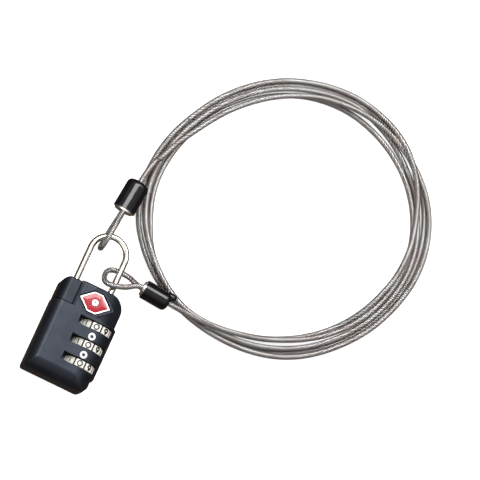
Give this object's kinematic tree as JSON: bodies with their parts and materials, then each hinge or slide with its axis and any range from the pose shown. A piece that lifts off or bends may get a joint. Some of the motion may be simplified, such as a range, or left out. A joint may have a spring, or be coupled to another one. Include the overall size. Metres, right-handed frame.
{
  "type": "cable luggage lock",
  "caption": "Combination padlock with number dials and a lifting shackle, holding the two crimped eyes of a coiled, vinyl-covered wire rope.",
  "frame": {"origin": "centre of the lock's box (shackle included, cable left out), on the plane of its back face", "axes": "+X towards the dials' open side, +Y the way the shackle lifts, +Z out of the dial face"},
  "size_m": [0.144, 0.174, 0.018],
  "materials": {
    "housing_paint": "satin dark slate paint over a zinc casting",
    "button_paint": "satin dark slate paint, a little smoother",
    "index_white": "white moulded ring",
    "dark_steel": "blackened steel",
    "plain_steel": "plain machined steel",
    "spring_steel": "drawn spring wire",
    "shackle_chrome": "polished chrome",
    "dial_nickel": "polished nickel, black filled figures",
    "key_brass": "machined brass",
    "badge_metal": "polished frame",
    "badge_red": "clear red enamel",
    "ferrule_metal": "pressed aluminium",
    "sleeve_vinyl": "black glossy vinyl",
    "cable_sheath": "clear vinyl over galvanised wire rope"
  },
  "bodies": {
    "lock_body": {"front_housing": "housing_paint", "rear_housing": "housing_paint", "index_rings": "index_white", "housing_rivets": "dark_steel", "button_spring": "spring_steel", "shackle_spring": "spring_steel", "dial_arbor": "plain_steel", "detent_balls": "plain_steel", "detent_springs": "spring_steel", "key_sleeve": "key_brass", "badge_plate": "badge_metal", "badge_enamel": "badge_red", "ferrule_upper": "ferrule_metal", "ferrule_lower": "ferrule_metal", "sleeve_upper": "sleeve_vinyl", "sleeve_lower": "sleeve_vinyl", "cable_eye_upper": "cable_sheath", "cable_eye_lower": "cable_sheath", "cable_lead_upper": "cable_sheath", "cable_lead_lower": "cable_sheath", "cable_coil": "cable_sheath"},
    "shackle": {"shackle": "shackle_chrome", "leg_clip": "spring_steel"},
    "release_button": {"release_button": "button_paint", "locking_bar": "plain_steel"},
    "dial_top": {"dial_wheel_top": "dial_nickel", "dial_hub_top": "plain_steel"},
    "dial_middle": {"dial_wheel_middle": "dial_nickel", "dial_hub_middle": "plain_steel"},
    "dial_bottom": {"dial_wheel_bottom": "dial_nickel", "dial_hub_bottom": "plain_steel"},
    "key_plug": {"key_plug": "key_brass", "key_cam": "plain_steel"}
  },
  "joints": [
    {"name": "shackle_lift", "type": "slide", "parent": "lock_body", "child": "shackle", "axis": [0, 1, 0], "range_m": [0, 0.0065], "deforming": ["shackle_spring"]},
    {"name": "release_button_press", "type": "slide", "parent": "lock_body", "child": "release_button", "axis": [1, 0, 0], "range_m": [0, 0.0006], "stiffness_N_per_m": 800, "springref_m": -0.0005, "deforming": ["button_spring"]},
    {"name": "dial_top_spin", "type": "hinge", "parent": "lock_body", "child": "dial_top", "pos_m": [0.0069, -0.00675, 0.00885], "axis": [0, 1, 0], "continuous": true},
    {"name": "dial_middle_spin", "type": "hinge", "parent": "lock_body", "child": "dial_middle", "pos_m": [0.0069, -0.0156, 0.00885], "axis": [0, 1, 0], "continuous": true},
    {"name": "dial_bottom_spin", "type": "hinge", "parent": "lock_body", "child": "dial_bottom", "pos_m": [0.0069, -0.02445, 0.00885], "axis": [0, 1, 0], "continuous": true},
    {"name": "key_plug_turn", "type": "hinge", "parent": "lock_body", "child": "key_plug", "pos_m": [-0.0042, -0.0286, 0.003], "axis": [0, 0, 1], "range_deg": [0, 90]}
  ]
}
